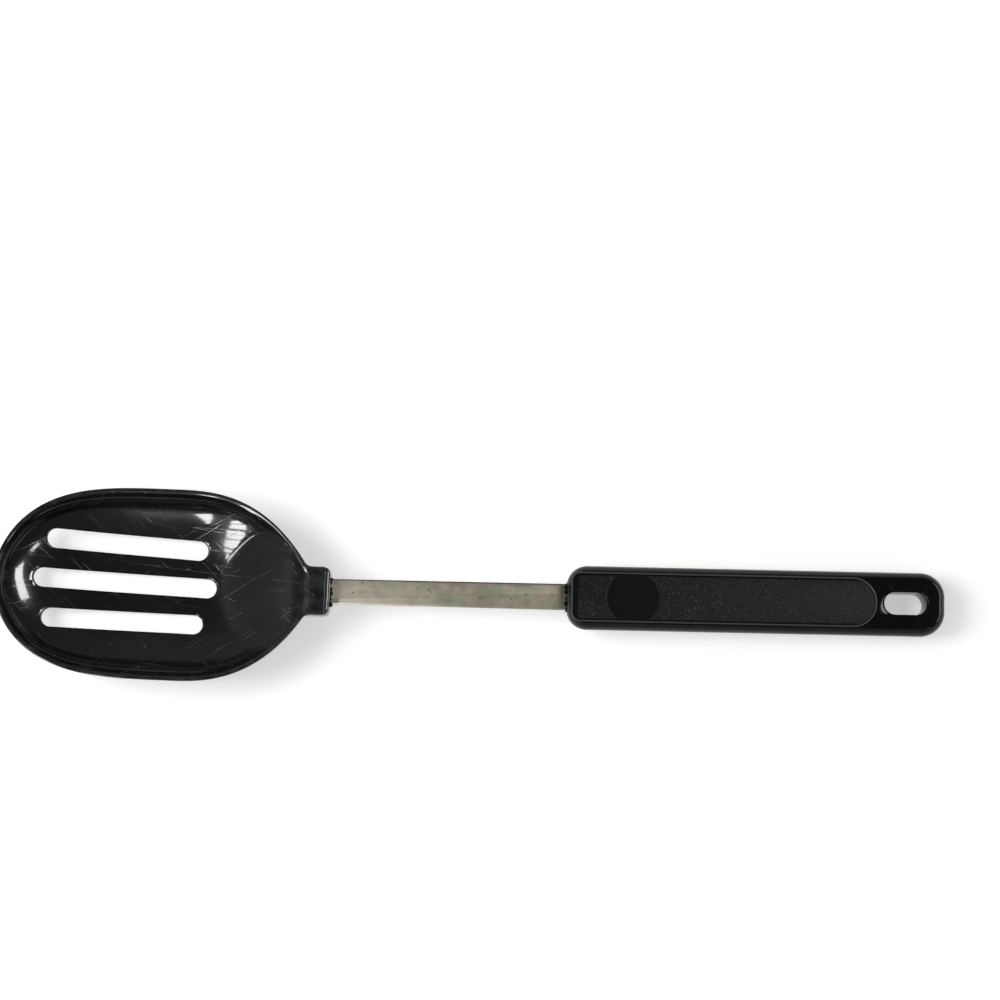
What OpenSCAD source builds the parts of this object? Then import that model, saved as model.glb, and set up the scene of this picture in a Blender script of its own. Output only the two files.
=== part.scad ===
// Slotted serving spoon: a moulded bowl and a moulded handle, both moulded onto one flat steel strip.
// +X runs along the strip towards the hanging end, +Z is up, and the hollow of the bowl faces up.
// The spoon stands as on a table: on the flat under its bowl and on the lower edge of the handle's end.

/* [Bowl] */
// Widest width of the bowl over its rim
bowl_w = 66.2; // [60:0.2:74]
// Length of the bowl from its widest place to the tip
tip_len = 63; // [57:0.5:72]
// Length of the bowl from its widest place to the front of the collar
shoulder_len = 44.4; // [40:0.2:54]
// Depth of the hollow, from the rim to the floor
bowl_depth = 17; // [15:0.5:21]
// Thickness of the floor
floor_t = 2.4; // [1.8:0.1:3.2]
// Width of the land on top of the rim
rim_w = 0.8; // [0.6:0.1:1.4]
// Width of the rounded slope from the land down to the wall of the hollow
brim_w = 1.4; // [1:0.1:2]
// Depth of that slope
brim_drop = 0.7; // [0.5:0.1:0.9]
// Height of the upright edge under the rim
rim_h = 2.2; // [1.6:0.1:3]
// Depth of the flat that the bowl stands on
foot_cut = 0.4; // [0.3:0.1:0.6]
// Sideways lean of the bowl on the strip in degrees, 0 is straight
bowl_lean = 1.25; // [0:0.25:3]

/* [Slots] */
// Width of a slot
slot_w = 6.7; // [5:0.1:8]
// Length of the middle slot over its round ends
slot_len = 63.6; // [50:0.1:66]
// Length of the two side slots over their round ends
side_slot_len = 56; // [40:0.5:58]
// Distance from slot to slot, centre to centre
slot_pitch = 13.4; // [12:0.2:15]
// Distance of the slots' middle from the widest place, towards the tip
slot_ahead = 19; // [15:0.2:20]
// Distance of the middle slot from the bowl's middle line
slot_side = 1.1; // [0:0.1:1.6]
// Turn of the three slots in the bowl in degrees, 0 is straight
slot_turn = 1.5; // [0:0.25:3]
// Angle in degrees by which each side slot closes in towards the neck
slot_fan = 1; // [0:0.5:2]

/* [Collar] */
// Width of the collar round the strip
collar_w = 16.8; // [15:0.2:20]
// Length of the collar
collar_len = 9.1; // [7:0.1:14]
// Thickness of the collar
collar_t = 11; // [10:0.2:13]
// Height of the collar's top above the rim
collar_rise = 0.4; // [0.2:0.1:1]
// Depth of the strip's middle below the collar's top
strip_sink = 7.2; // [6.8:0.1:8]
// Round on the collar's edges
collar_r = 1.4; // [0.8:0.1:2.4]
// Radius of the fillet, seen from above, where the rim runs into the collar
neck_r = 3; // [2:0.2:4]

/* [Strip] */
// Width of the steel strip
strip_w = 9.4; // [7:0.2:11]
// Thickness of the steel strip
strip_t = 1.8; // [1.2:0.1:2.4]
// Length of bare strip between the collar and the handle
strip_len = 82; // [60:1:120]
// Length of the tang inside the bowl's collar and neck
bowl_tang = 18; // [14:0.5:20]
// Length of the tang inside the handle
handle_tang = 70; // [50:1:85]
// Diameter of the holes in the tangs, which the mouldings fill
key_d = 4.2; // [3:0.1:5]
// Distance of a tang hole from the tang's end
key_edge = 6; // [5:0.5:8]
// Distance between the two holes in the handle's tang
key_gap = 40; // [30:1:55]

/* [Handle] */
// Length of the handle
handle_len = 132; // [115:1:150]
// Width of the handle
handle_w = 22.3; // [20:0.1:26]
// Thickness of the handle over its flat faces
handle_t = 12.4; // [11:0.2:15]
// Width that each rounded side takes off the flat faces
side_drop = 2.3; // [1.5:0.1:3]
// Corner radius at the strip's end, seen from above
front_r = 7; // [5:0.5:8.5]
// Corner radius at the hanging end, seen from above
rear_r = 8.6; // [6:0.2:9.5]
// Height of the bead round each grip panel
bead_h = 0.3; // [0.2:0.1:0.5]
// Width of the bead
bead_w = 0.7; // [0.5:0.1:1]

/* [Grip panels] */
// Width of the panel bed inside the bead
panel_w = 16; // [13:0.2:16.4]
// Length of the panel bed
panel_len = 105; // [85:1:108]
// Distance from the handle's front to the panel bed
panel_set = 2; // [1.8:0.1:4]
// Corner radius of the panel bed at the strip's end
panel_r = 2.6; // [1.5:0.1:4]
// Depth of the panel bed
bed_depth = 1.8; // [1.4:0.1:2.2]
// Thickness of a grip panel
panel_t = 1.7; // [1.3:0.1:2.1]
// Gap between a grip panel and the wall of its bed
panel_gap = 0.15; // [0.1:0.05:0.3]
// Diameter of the smooth bare disc in the front panel
disc_d = 15.6; // [10:0.2:15.6]
// Distance from the handle's front to the middle of the disc
disc_set = 22.9; // [18:0.5:40]
// Depth of the disc below the panel's face
disc_depth = 0.2; // [0.1:0.05:0.4]

/* [Hanging hole] */
// Width of the hanging hole
hole_w = 7.8; // [5:0.2:9]
// Length of the hanging hole over its round ends
hole_len = 14.2; // [11:0.2:16]
// Distance from the handle's end to the hanging hole
hole_edge = 7; // [5:0.2:8]
// Width of the bevel round the hanging hole's mouths
hole_bevel = 0.8; // [0.4:0.1:1.2]

/* [Hidden] */
nylon_black = [0.12, 0.12, 0.13];
steel_grey = [0.62, 0.60, 0.56];
handle_black = [0.09, 0.09, 0.1];
grip_black = [0.16, 0.17, 0.18];

// Steps round the bowl's outline and down its wall
bowl_steps = 96;
wall_steps = 14;
// Steps in a quarter of a lofted corner, and from face to face of the handle
corner_steps = 8;
side_steps = 10;
// Steps over the round on the collar's rear edge, and down the slope inside the rim
round_steps = 4;
brim_steps = 3;
// Overrun of every cut
over = 1;
// Height over which the valley between the wall and the ramp is filled out
valley_blend = 0.9;
// Drop of the neck's fillets below the rim
fillet_drop = 0.2;
// The socket's far end under the neck: its lift, thickness and corner radius
socket_lift = 0.8;
fade_t = 2.4;
fade_r = 0.6;

// Fullness of the outline: the first pair shapes the tip, the second the shoulders
tip_share = [3.6, 1.8];
neck_share = [2.57, 1.17];
// Shape of the wall, and of the ramp that carries the floor up to the collar
wall_share = [3, 0.8, 0.46];
ramp_share = [2.1, 3.4];
// Where on the way to the collar the ramp starts, and its slope before that and past its end
ramp_from_share = 0.2;
lead_share = 0.25;
// How much of the collar's round shows on its rear edge, and of its width is left at the socket's far end
edge_share = 0.8;
fade_share = 0.6;
// How much of the sides' rounding the handle's front end takes
nose_share = 0.6;
// Roundness of the panel bed's far end, 1 is a full half circle
bed_end_share = 0.98;

// The neck's fillets: how far they reach behind the collar's front in radii, and their turn in degrees
fillet_reach_share = 0.85;
fillet_turn = 58;

// The outline closes inside the collar, and is a little wider than the collar at the collar's front
flare_share = 1.175;
neck_run = shoulder_len / pow(1 - pow(flare_share * collar_w / bowl_w, neck_share[1]), 1 / neck_share[0]);
widest_x = -(collar_len + shoulder_len);
rim_z = bowl_depth + floor_t - foot_cut;
collar_top = rim_z + collar_rise;
strip_z = collar_top - strip_sink;
hole_mid = handle_len - hole_edge - hole_len / 2;

// The tilt at which the handle's lower end edge, or the bead before it, meets the table
side_round = (pow(handle_t / 2, 2) + pow(side_drop, 2)) / (2 * side_drop);
end_reach = strip_len + handle_len - side_drop;
bead_reach = strip_len + panel_set + panel_len + bead_w;
rest_tilt = min(touch_tilt(end_reach, handle_t / 2), touch_tilt(bead_reach, handle_t / 2 + bead_h));

// The origin is on the table, under the middle of the whole spoon's length and width
rim_points = [for (i = [0:bowl_steps - 1]) leaned(outline_point(360 * i / bowl_steps, 0))];
rim_x = [for (p = rim_points) p[0]];
rim_y = [for (p = rim_points) p[1]];
middle = [(min(rim_x) + (strip_len + handle_len) * cos(rest_tilt)) / 2, (min(rim_y) + max(rim_y)) / 2];

function touch_tilt(reach, drop) = asin(strip_z / norm([reach, drop])) - atan2(drop, reach);

function mix(a, b, t) = a + (b - a) * t;

// A point of the bowl's outline at angle a, drawn in by inset, seen from the widest place
function outline_point(a, inset) =
    let (
        u = abs(cos(a)),
        to_neck = cos(a) > 0,
        share = to_neck ? neck_share : tip_share,
        run = (to_neck ? neck_run : tip_len) - inset,
        half = bowl_w / 2 - inset
    )
    [sign(cos(a)) * run * u, sign(sin(a)) * half * pow(max(1 - pow(u, share[0]), 0), 1 / share[1])];

// The same point, set behind the collar and leaned with the bowl
function leaned(p) =
    let (x = p[0] + widest_x)
    [x * cos(bowl_lean) + p[1] * sin(bowl_lean), p[1] * cos(bowl_lean) - x * sin(bowl_lean)];

// How far the wall has risen at angle a and share s of the way out, 1 at the rim. It stands up
// straightest at the tip.
function wall_rise(a, s) =
    let (upright = pow(max(-cos(a), 0), 2))
    1 - pow(max(1 - pow(s, wall_share[0]), 0), mix(wall_share[1], wall_share[2], upright));

// The ramp's height at place x, seen from the widest place. Before its start it dips under the floor.
function ramp_height(x, low, high) =
    let (start = ramp_from_share * shoulder_len, t = (x - start) / (shoulder_len - start))
    t < 0 ? low + lead_share * (x - start)
    : t > 1 ? high + lead_share * (x - shoulder_len)
    : mix(low, high, 1 - pow(1 - pow(t, ramp_share[0]), ramp_share[1]));

// The larger of two heights, filled out a little where they are near each other
function soft_max(a, b) =
    let (near = max(valley_blend - abs(a - b), 0))
    max(a, b) + near * near / (4 * valley_blend);

// A dish runs from low in its middle to high at its brim, and up to ramp_high at the collar
function dish_ring(inset, s, low, high, ramp_high) = [
    for (i = [0:bowl_steps - 1])
        let (a = 360 * i / bowl_steps, p = outline_point(a, inset) * s)
        [p[0], p[1], soft_max(mix(low, high, wall_rise(a, s)), ramp_height(p[0], low, ramp_high))]
];

function flat_ring(inset, z) = [
    for (i = [0:bowl_steps - 1])
        let (p = outline_point(360 * i / bowl_steps, inset))
        [p[0], p[1], z]
];

// The slope inside the rim at share t of its width, raised where the ramp runs over it
function brim_ring(t, low) = [
    for (p = flat_ring(rim_w + brim_w * t, rim_z - brim_drop * t * t))
        [p[0], p[1], soft_max(p[2], ramp_height(p[0], low, collar_top))]
];

// The rings of a dish from its brim inwards, closest where the wall is steepest
function dish_rings(inset, low, high, ramp_high) = [
    for (k = [wall_steps:-1:1]) dish_ring(inset, sin(90 * k / wall_steps), low, high, ramp_high)
];

// A rectangle with one corner radius at each end, as a ring of points at height z
function slab_ring(x0, x1, half, r0, r1, z) = [
    for (corner = [[x1 - r1, half - r1, r1, 0], [x0 + r0, half - r0, r0, 90],
                   [x0 + r0, r0 - half, r0, 180], [x1 - r1, r1 - half, r1, 270]],
         k = [0:corner_steps])
        let (a = corner[3] + 90 * k / corner_steps)
        [corner[0] + corner[2] * cos(a), corner[1] + corner[2] * sin(a), z]
];

// A rounded rectangle across the strip at place x, as a ring of points
function collar_ring(x, half, low, high, r) = [
    for (corner = [[half - r, high - r, 0], [r - half, high - r, 90],
                   [r - half, low + r, 180], [half - r, low + r, 270]],
         k = [0:corner_steps])
        let (a = corner[2] + 90 * k / corner_steps)
        [x, corner[0] + r * cos(a), corner[1] + r * sin(a)]
];

function band(n, j) = [
    for (i = [0:n - 1], half = [0, 1])
        let (a = j * n + i, b = j * n + (i + 1) % n)
        half == 0 ? [a, b, b + n] : [a, b + n, a + n]
];

// A closed skin over rings of equal count that turn anticlockwise, seen from the first ring's side.
// The far end is a flat cap, or runs to one point where tip is given.
module skin(rings, tip = []) {
    n = len(rings[0]);
    last = n * (len(rings) - 1);
    ends = len(tip) == 0
        ? [[for (i = [0:n - 1]) last + i]]
        : [for (i = [0:n - 1]) [last + i, last + (i + 1) % n, last + n]];
    polyhedron(
        points = concat([for (ring = rings) each ring], len(tip) == 0 ? [] : [tip]),
        faces = concat(
            [[for (i = [n - 1:-1:0]) i]],
            [for (j = [0:len(rings) - 2]) each band(n, j)],
            ends
        )
    );
}

// A flat shape with full round ends
module obround(length, width) {
    square([length - width, width], center = true);
    for (side = [-1, 1])
        translate([side * (length - width) / 2, 0])
            circle(d = width, $fn = 64);
}

module bowl_outside() {
    low = -foot_cut;
    high = rim_z - rim_h;
    translate([widest_x, 0, 0])
        skin(concat([flat_ring(0, rim_z)], dish_rings(0, low, high, collar_top - floor_t)), [0, 0, low]);
}

module bowl_hollow() {
    low = rim_z - bowl_depth;
    top = flat_ring(rim_w, collar_top + 2 * over);
    slope = [for (k = [0:brim_steps - 1]) brim_ring(k / brim_steps, low)];
    wall = dish_rings(rim_w + brim_w, low, rim_z - brim_drop, collar_top);
    translate([widest_x, 0, 0])
        skin(concat([top], slope, wall), [0, 0, low]);
}

module slots() {
    translate([widest_x - slot_ahead, 0, -foot_cut - over])
        for (side = [-1:1])
            rotate(-slot_turn)
                translate([0, slot_side + side * slot_pitch, 0])
                    rotate(-side * slot_fan)
                        linear_extrude(rim_z)
                            obround(side == 0 ? slot_len : side_slot_len, slot_w);
}

// The collar's block, which runs on under the neck as a socket for the tang and fades into the bowl
module collar() {
    half = collar_w / 2;
    low = collar_top - collar_t;
    fade = collar_len + bowl_tang;
    skin([
        for (k = [round_steps:-1:0])
            let (a = 90 * k / round_steps, d = collar_r * edge_share * (1 - cos(a)))
            collar_ring(-collar_r * (1 - sin(a)), half - d, low + d, collar_top - d, collar_r - d),
        collar_ring(-collar_len, half, low, collar_top, collar_r),
        collar_ring(-fade, half * fade_share, low + socket_lift, low + socket_lift + fade_t, fade_r)
    ]);
}

// The two fillets that lead the rim into the collar's sides
module neck_fillets() {
    side_y = collar_w / 2 + neck_r;
    steps = 2 * round_steps;
    for (side = [0, 1])
        mirror([0, side, 0])
            translate([neck_r * fillet_reach_share - collar_len, 0, rim_z - rim_h])
                linear_extrude(rim_h - fillet_drop)
                    polygon(concat(
                        [[0, collar_w / 4]],
                        [for (k = [0:steps])
                            let (a = fillet_turn * k / steps)
                            [-neck_r * sin(a), side_y - neck_r * cos(a)]],
                        [[-2 * neck_r, collar_w / 4]]
                    ));
}

module on_bowl_axis() {
    translate([-middle[0], -middle[1], 0])
        rotate([0, 0, -bowl_lean])
            children();
}

// Places what belongs to the strip and the handle: along the strip's middle, tilted to the table
module on_strip() {
    translate([-middle[0], -middle[1], strip_z])
        rotate([0, rest_tilt, 0])
            children();
}

module strip_blank() {
    translate([-bowl_tang, -strip_w / 2, -strip_t / 2])
        cube([bowl_tang + strip_len + handle_tang, strip_w, strip_t]);
}

module key_holes(extra) {
    keys = [key_edge - bowl_tang, strip_len + handle_tang - key_edge, strip_len + handle_tang - key_edge - key_gap];
    for (x = keys)
        translate([x, 0, -strip_t / 2 - extra])
            cylinder(d = key_d, h = strip_t + 2 * extra, $fn = 48);
}

module strip() {
    difference() {
        strip_blank();
        key_holes(over);
    }
}

module slotted_bowl() {
    color(nylon_black)
        difference() {
            on_bowl_axis()
                difference() {
                    union() {
                        bowl_outside();
                        collar();
                        neck_fillets();
                    }
                    bowl_hollow();
                    slots();
                    translate([widest_x - tip_len, -bowl_w, -2 * over])
                        cube([2 * tip_len, 2 * bowl_w, 2 * over]);
                }
            on_strip()
                strip();
        }
}

module shank_strip() {
    color(steel_grey)
        on_strip()
            strip();
}

// The flat outline of a panel bed, grown by grow, square at the strip's end and round at the other
module bed_outline(grow) {
    half = panel_w / 2 + grow;
    x0 = strip_len + panel_set;
    polygon([
        for (p = slab_ring(x0 - grow, x0 + panel_len + grow, half, panel_r + grow, half * bed_end_share, 0))
            [p[0], p[1]]
    ]);
}

module handle_block() {
    skin([
        for (k = [0:side_steps])
            let (
                z = handle_t / 2 * cos(180 * k / side_steps),
                d = side_round - sqrt(pow(side_round, 2) - z * z)
            )
            slab_ring(strip_len + nose_share * d, strip_len + handle_len - d, handle_w / 2 - d,
                      front_r - d, rear_r - d, z)
    ]);
}

module bead() {
    linear_extrude(bead_h + over)
        difference() {
            bed_outline(bead_w);
            bed_outline(0);
        }
}

// The hanging hole with a bevel at each mouth
module hanging_hole() {
    translate([strip_len + hole_mid, 0, -handle_t / 2 - over])
        linear_extrude(handle_t + 2 * over)
            obround(hole_len, hole_w);
    for (side = [0, 1])
        mirror([0, 0, side])
            translate([strip_len + hole_mid, 0, handle_t / 2 - hole_bevel])
                hull()
                    for (end = [-1, 1])
                        translate([end * (hole_len - hole_w) / 2, 0, 0])
                            cylinder(d1 = hole_w, d2 = hole_w + 2 * (hole_bevel + over), h = hole_bevel + over, $fn = 32);
}

module handle_body() {
    color(handle_black)
        on_strip()
            difference() {
                union() {
                    handle_block();
                    for (side = [0, 1])
                        mirror([0, 0, side])
                            translate([0, 0, handle_t / 2 - over])
                                bead();
                }
                for (side = [0, 1])
                    mirror([0, 0, side])
                        translate([0, 0, handle_t / 2 - bed_depth])
                            linear_extrude(bed_depth + bead_h + over)
                                bed_outline(0);
                hanging_hole();
                strip();
            }
}

module grip_panel() {
    translate([0, 0, handle_t / 2 - bed_depth])
        linear_extrude(panel_t)
            bed_outline(-panel_gap);
}

module grip_panel_front() {
    color(grip_black)
        on_strip()
            difference() {
                grip_panel();
                translate([strip_len + disc_set, 0, handle_t / 2 - bed_depth + panel_t - disc_depth])
                    cylinder(d = disc_d, h = disc_depth + over, $fn = 96);
            }
}

module grip_panel_back() {
    color(grip_black)
        on_strip()
            mirror([0, 0, 1])
                grip_panel();
}

slotted_bowl();
shank_strip();
handle_body();
grip_panel_front();
grip_panel_back();
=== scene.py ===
"""Slotted serving spoon: the finish of the moulded bowl, the steel strip and the moulded handle.

Everything is in metres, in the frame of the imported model: +X along the strip, +Z up, the table at zero.
"""

import math

import bmesh
import bpy
from mathutils import Matrix, Vector


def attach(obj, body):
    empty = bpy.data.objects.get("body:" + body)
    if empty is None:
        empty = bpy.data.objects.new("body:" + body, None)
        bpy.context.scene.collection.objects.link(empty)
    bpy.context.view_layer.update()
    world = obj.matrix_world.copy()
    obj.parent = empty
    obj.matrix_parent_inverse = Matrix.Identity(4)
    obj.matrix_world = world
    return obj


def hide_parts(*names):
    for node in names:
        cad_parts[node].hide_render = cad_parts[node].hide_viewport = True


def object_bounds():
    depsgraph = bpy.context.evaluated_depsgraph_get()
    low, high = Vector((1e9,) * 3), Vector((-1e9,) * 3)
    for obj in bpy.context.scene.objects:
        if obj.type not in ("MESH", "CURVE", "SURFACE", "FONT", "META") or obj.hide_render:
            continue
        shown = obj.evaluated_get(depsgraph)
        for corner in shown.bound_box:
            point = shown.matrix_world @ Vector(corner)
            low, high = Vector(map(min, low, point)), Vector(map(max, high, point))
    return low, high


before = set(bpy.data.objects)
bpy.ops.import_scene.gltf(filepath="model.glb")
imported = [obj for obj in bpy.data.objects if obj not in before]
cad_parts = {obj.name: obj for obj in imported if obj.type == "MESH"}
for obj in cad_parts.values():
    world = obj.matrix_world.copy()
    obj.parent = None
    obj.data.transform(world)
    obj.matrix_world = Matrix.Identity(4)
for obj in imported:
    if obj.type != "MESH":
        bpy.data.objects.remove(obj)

CAD_LOW, CAD_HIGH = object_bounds()
BODY = "root"

# Bowl
BOWL_WIDTH = 0.0662
TIP_LENGTH = 0.063
SHOULDER_LENGTH = 0.0444
BOWL_DEPTH = 0.017
FLOOR_THICKNESS = 0.0024
RIM_WIDTH = 0.0006
RIM_HEIGHT = 0.0022
RIM_ROUND = 0.0004
BRIM_WIDTH = 0.0011
BRIM_DROP = 0.0006
FOOT_CUT = 0.0004
BOWL_LEAN = math.radians(1.25)
RAMP_START = 0.2 * SHOULDER_LENGTH
RAMP_BLEND = 0.0006
RAMP_DROP = 0.0002

# Slots
SLOT_WIDTH = 0.0067
SLOT_LENGTH = 0.0636
SIDE_SLOT_LENGTH = 0.056
SLOT_PITCH = 0.0134
SLOT_AHEAD = 0.019
SLOT_SIDE = 0.0011
SLOT_TURN = math.radians(1.5)
SLOT_FAN = math.radians(1)
SLOT_LIP = 0.00055

# Collar
COLLAR_WIDTH = 0.0168
COLLAR_LENGTH = 0.0091
COLLAR_THICKNESS = 0.011
COLLAR_RISE = 0.0004
STRIP_SINK = 0.0072
COLLAR_ROUND = 0.0014
COLLAR_CORNER = 0.0024
NECK_FILLET = 0.003
FILLET_TURN = math.radians(58)
FILLET_DROP = 0.0002
FILLET_EASE = 0.00012
LIP_SET = 0.0016
LIP_WIDTH = 0.0005
LIP_DEPTH = 0.00022
SOCKET_LIFT = 0.0008
SOCKET_END_THICKNESS = 0.0024
SOCKET_END_ROUND = 0.0006

# Strip
STRIP_WIDTH = 0.0094
STRIP_THICKNESS = 0.0018
STRIP_LENGTH = 0.082
STRIP_EDGE = 0.0005
STRIP_TAPER = 0.0008
FLASH_REACH = 0.0007
FLASH_THICKNESS = 0.00025
FLASH_OVERHANG = 0.0006
FLASH_CREEP = 1.25
FLASH_LEAST = 0.12
BOWL_TANG = 0.018
HANDLE_TANG = 0.070
KEY_DIAMETER = 0.0042
KEY_EDGE = 0.006
KEY_GAP = 0.040

# Handle
HANDLE_LENGTH = 0.132
HANDLE_WIDTH = 0.0223
HANDLE_THICKNESS = 0.0124
SIDE_DROP = 0.0023
FRONT_CORNER = 0.007
REAR_CORNER = 0.0086
FACE_EDGE_ROUND = 0.0009
BEAD_HEIGHT = 0.0003
BEAD_WIDTH = 0.0007

# Grip panels
PANEL_WIDTH = 0.016
PANEL_LENGTH = 0.105
PANEL_SET = 0.002
PANEL_CORNER = 0.0026
BED_DEPTH = 0.0018
PANEL_THICKNESS = 0.0017
PANEL_GAP = 0.00008
PANEL_EDGE = 0.0002
DISC_DIAMETER = 0.0182
DISC_SET = 0.0229
DISC_DEPTH = 0.00012
FIELD_SET = 0.0021
FIELD_HALF = 0.0074
FIELD_FADE = 0.0002

# Hanging hole
HOLE_WIDTH = 0.0078
HOLE_LENGTH = 0.0148
HOLE_EDGE = 0.007
HOLE_ROUND = 0.0009

# Fullness of the bowl's outline, wall and ramp, and shares of the collar, its socket and the handle's ends
TIP_SHARES = (3.6, 1.8)
NECK_SHARES = (2.57, 1.17)
WALL_SHARES = (2.6, 0.5, 0.42)
RAMP_SHARES = (2.3, 2.6)
RAMP_RUNOUT = 4
FLARE_SHARE = 1.175
FILLET_REACH_SHARE = 0.85
COLLAR_END_SHARE = 0.8
SOCKET_END_SHARE = 0.6
NOSE_SHARE = 0.6
BED_END_SHARE = 0.98
FACE_EDGE_START = 0.55
FACE_EDGE_CURVE = ((0.12, 0.42), (0.34, 0.74), (0.68, 0.93), (1.1, 1.0))

# Steps of the meshes, and the places on the rounded edges, in degrees. The floor's rings take the place
# of the wall's last FOOT_STEPS
OUTLINE_STEPS = 320
WALL_STEPS = 30
FOOT_STEPS = 4
FLOOR_STEPS = 18
INNERMOST_SHARE = 0.02
RIM_STEPS = 5
BRIM_STEPS = 8
CORNER_STEPS = 14
LIP_STEPS = 6
SIDE_STEPS = 12
BEAD_STEPS = 8
DISC_STEPS = 96
KEY_STEPS = 48
STRIP_EDGE_STEPS = 5
FLASH_STEPS = 44
SLOT_EDGE = (20, 40, 65, 90)
HOLE_EDGES = (15, 30, 45, 60, 75, 90)
PANEL_EDGES = (90, 60, 30, 0)
SHARE_SEARCHES = 40
SMOOTH_UNDER = 30
STRIP_SMOOTH_UNDER = 40
SAME_PLACE = 1e-6
OVER = 0.001

NECK_RUN = SHOULDER_LENGTH / (
    1 - (FLARE_SHARE * COLLAR_WIDTH / BOWL_WIDTH) ** NECK_SHARES[1]) ** (1 / NECK_SHARES[0])
WIDEST_X = -(COLLAR_LENGTH + SHOULDER_LENGTH)
RIM_TOP = BOWL_DEPTH + FLOOR_THICKNESS - FOOT_CUT
COLLAR_TOP = RIM_TOP + COLLAR_RISE
STRIP_Z = COLLAR_TOP - STRIP_SINK
WALL_INSET = RIM_WIDTH + BRIM_WIDTH
PANEL_TOP = HANDLE_THICKNESS / 2 - BED_DEPTH + PANEL_THICKNESS
HOLE_X = STRIP_LENGTH + HANDLE_LENGTH - HOLE_EDGE - HOLE_LENGTH / 2


def touch_tilt(reach, drop):
    """The tilt at which a point of the strip's frame meets the table."""
    return math.asin(STRIP_Z / math.hypot(reach, drop)) - math.atan2(drop, reach)


REST_TILT = min(
    touch_tilt(STRIP_LENGTH + HANDLE_LENGTH - SIDE_DROP, HANDLE_THICKNESS / 2),
    touch_tilt(STRIP_LENGTH + PANEL_SET + PANEL_LENGTH + BEAD_WIDTH, HANDLE_THICKNESS / 2 + BEAD_HEIGHT),
)


def mix(a, b, share):
    return a + (b - a) * share


def srgb(text):
    """An sRGB hex value as linear RGBA."""
    channels = [int(text[i:i + 2], 16) / 255 for i in (1, 3, 5)]
    return [c / 12.92 if c <= 0.04045 else ((c + 0.055) / 1.055) ** 2.4 for c in channels] + [1.0]


def quarter_round(radius, degrees):
    """Places on a rounded edge: how far each is in from the side, and how far down from the face."""
    angles = [math.radians(angle) for angle in degrees]
    return [(radius * (1 - math.sin(a)), radius * (1 - math.cos(a))) for a in angles]


def arc(across, up, radius, start, sweep=90):
    """Places along an arc round a centre, from its start in degrees."""
    angles = [math.radians(start + 90 * k / CORNER_STEPS) for k in range(CORNER_STEPS * sweep // 90 + 1)]
    return [(across + radius * math.cos(a), up + radius * math.sin(a)) for a in angles]


def rounded_rectangle(x0, x1, half, round_0, round_1, z):
    """A ring of points round a rectangle with one corner radius at each end."""
    places = arc(x1 - round_1, half - round_1, round_1, 0)
    places += arc(x0 + round_0, half - round_0, round_0, 90)
    places += arc(x0 + round_0, round_0 - half, round_0, 180)
    places += arc(x1 - round_1, round_1 - half, round_1, 270)
    return [(x, y, z) for x, y in places]


def obround(length, width, grow):
    """A ring of places round a slot with full round ends."""
    reach, r = (length - width) / 2, width / 2 + grow
    return arc(reach, 0, r, -90, 180) + arc(-reach, 0, r, 90, 180)


# The bowl's outline and dish

def half_outline(ahead, inset):
    """The fullness, length and half width of the outline, on the neck's side or on the tip's."""
    if ahead:
        return NECK_SHARES, NECK_RUN - inset, BOWL_WIDTH / 2 - inset
    return TIP_SHARES, TIP_LENGTH - inset, BOWL_WIDTH / 2 - inset


def outline_point(turn, inset):
    """A point of the bowl's outline, drawn in by inset, seen from the widest place."""
    u = abs(math.cos(turn))
    shares, run, half = half_outline(math.cos(turn) > 0, inset)
    across = half * max(1 - u ** shares[0], 0) ** (1 / shares[1])
    return math.copysign(run * u, math.cos(turn)), math.copysign(across, math.sin(turn))


def wall_rise(x, share):
    """How far the wall has risen at a share of the way out, 1 at the rim. It is steepest at the tip."""
    upright = min(max(-x / (share * TIP_LENGTH), 0), 1) ** 2
    return 1 - max(1 - share ** WALL_SHARES[0], 0) ** mix(WALL_SHARES[1], WALL_SHARES[2], upright)


def ramp_height(x, low, high):
    """The ramp that carries the floor up to the collar's top. It runs on gently past both its ends."""
    share = (x - RAMP_START) / (SHOULDER_LENGTH - RAMP_START)
    if share < 0:
        return low + (x - RAMP_START) / RAMP_RUNOUT
    if share > 1:
        return high + (x - SHOULDER_LENGTH) / RAMP_RUNOUT
    return mix(low, high, 1 - (1 - share ** RAMP_SHARES[0]) ** RAMP_SHARES[1])


def soft_max(a, b):
    """The larger of two heights, with a fillet of the ramp's blend where they meet."""
    near = max(RAMP_BLEND - abs(a - b), 0) / RAMP_BLEND
    return max(a, b) + near * near * RAMP_BLEND / 4


def dish_height(x, share, low, high, ramp_low, ramp_high):
    """The height of a dish's surface, where the wall and the ramp meet in a crease."""
    return soft_max(mix(low, high, wall_rise(x, share)), ramp_height(x, ramp_low, ramp_high))


def share_at(x, y, inset):
    """The share of the way out from the middle at which a place in plan lies."""
    low, high = 1e-4, 1.5
    shares, run, half = half_outline(x > 0, inset)
    for _ in range(SHARE_SEARCHES):
        share = (low + high) / 2
        if (abs(x) / (share * run)) ** shares[0] + (abs(y) / (share * half)) ** shares[1] > 1:
            low = share
        else:
            high = share
    return min(share, 1)


INSIDE = dict(low=RIM_TOP - BOWL_DEPTH, high=RIM_TOP - BRIM_DROP,
              ramp_low=RIM_TOP - BOWL_DEPTH, ramp_high=RIM_TOP - RAMP_DROP)
OUTSIDE = dict(low=-FOOT_CUT, high=RIM_TOP - RIM_HEIGHT,
               ramp_low=-FOOT_CUT, ramp_high=COLLAR_TOP - FLOOR_THICKNESS)


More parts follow.
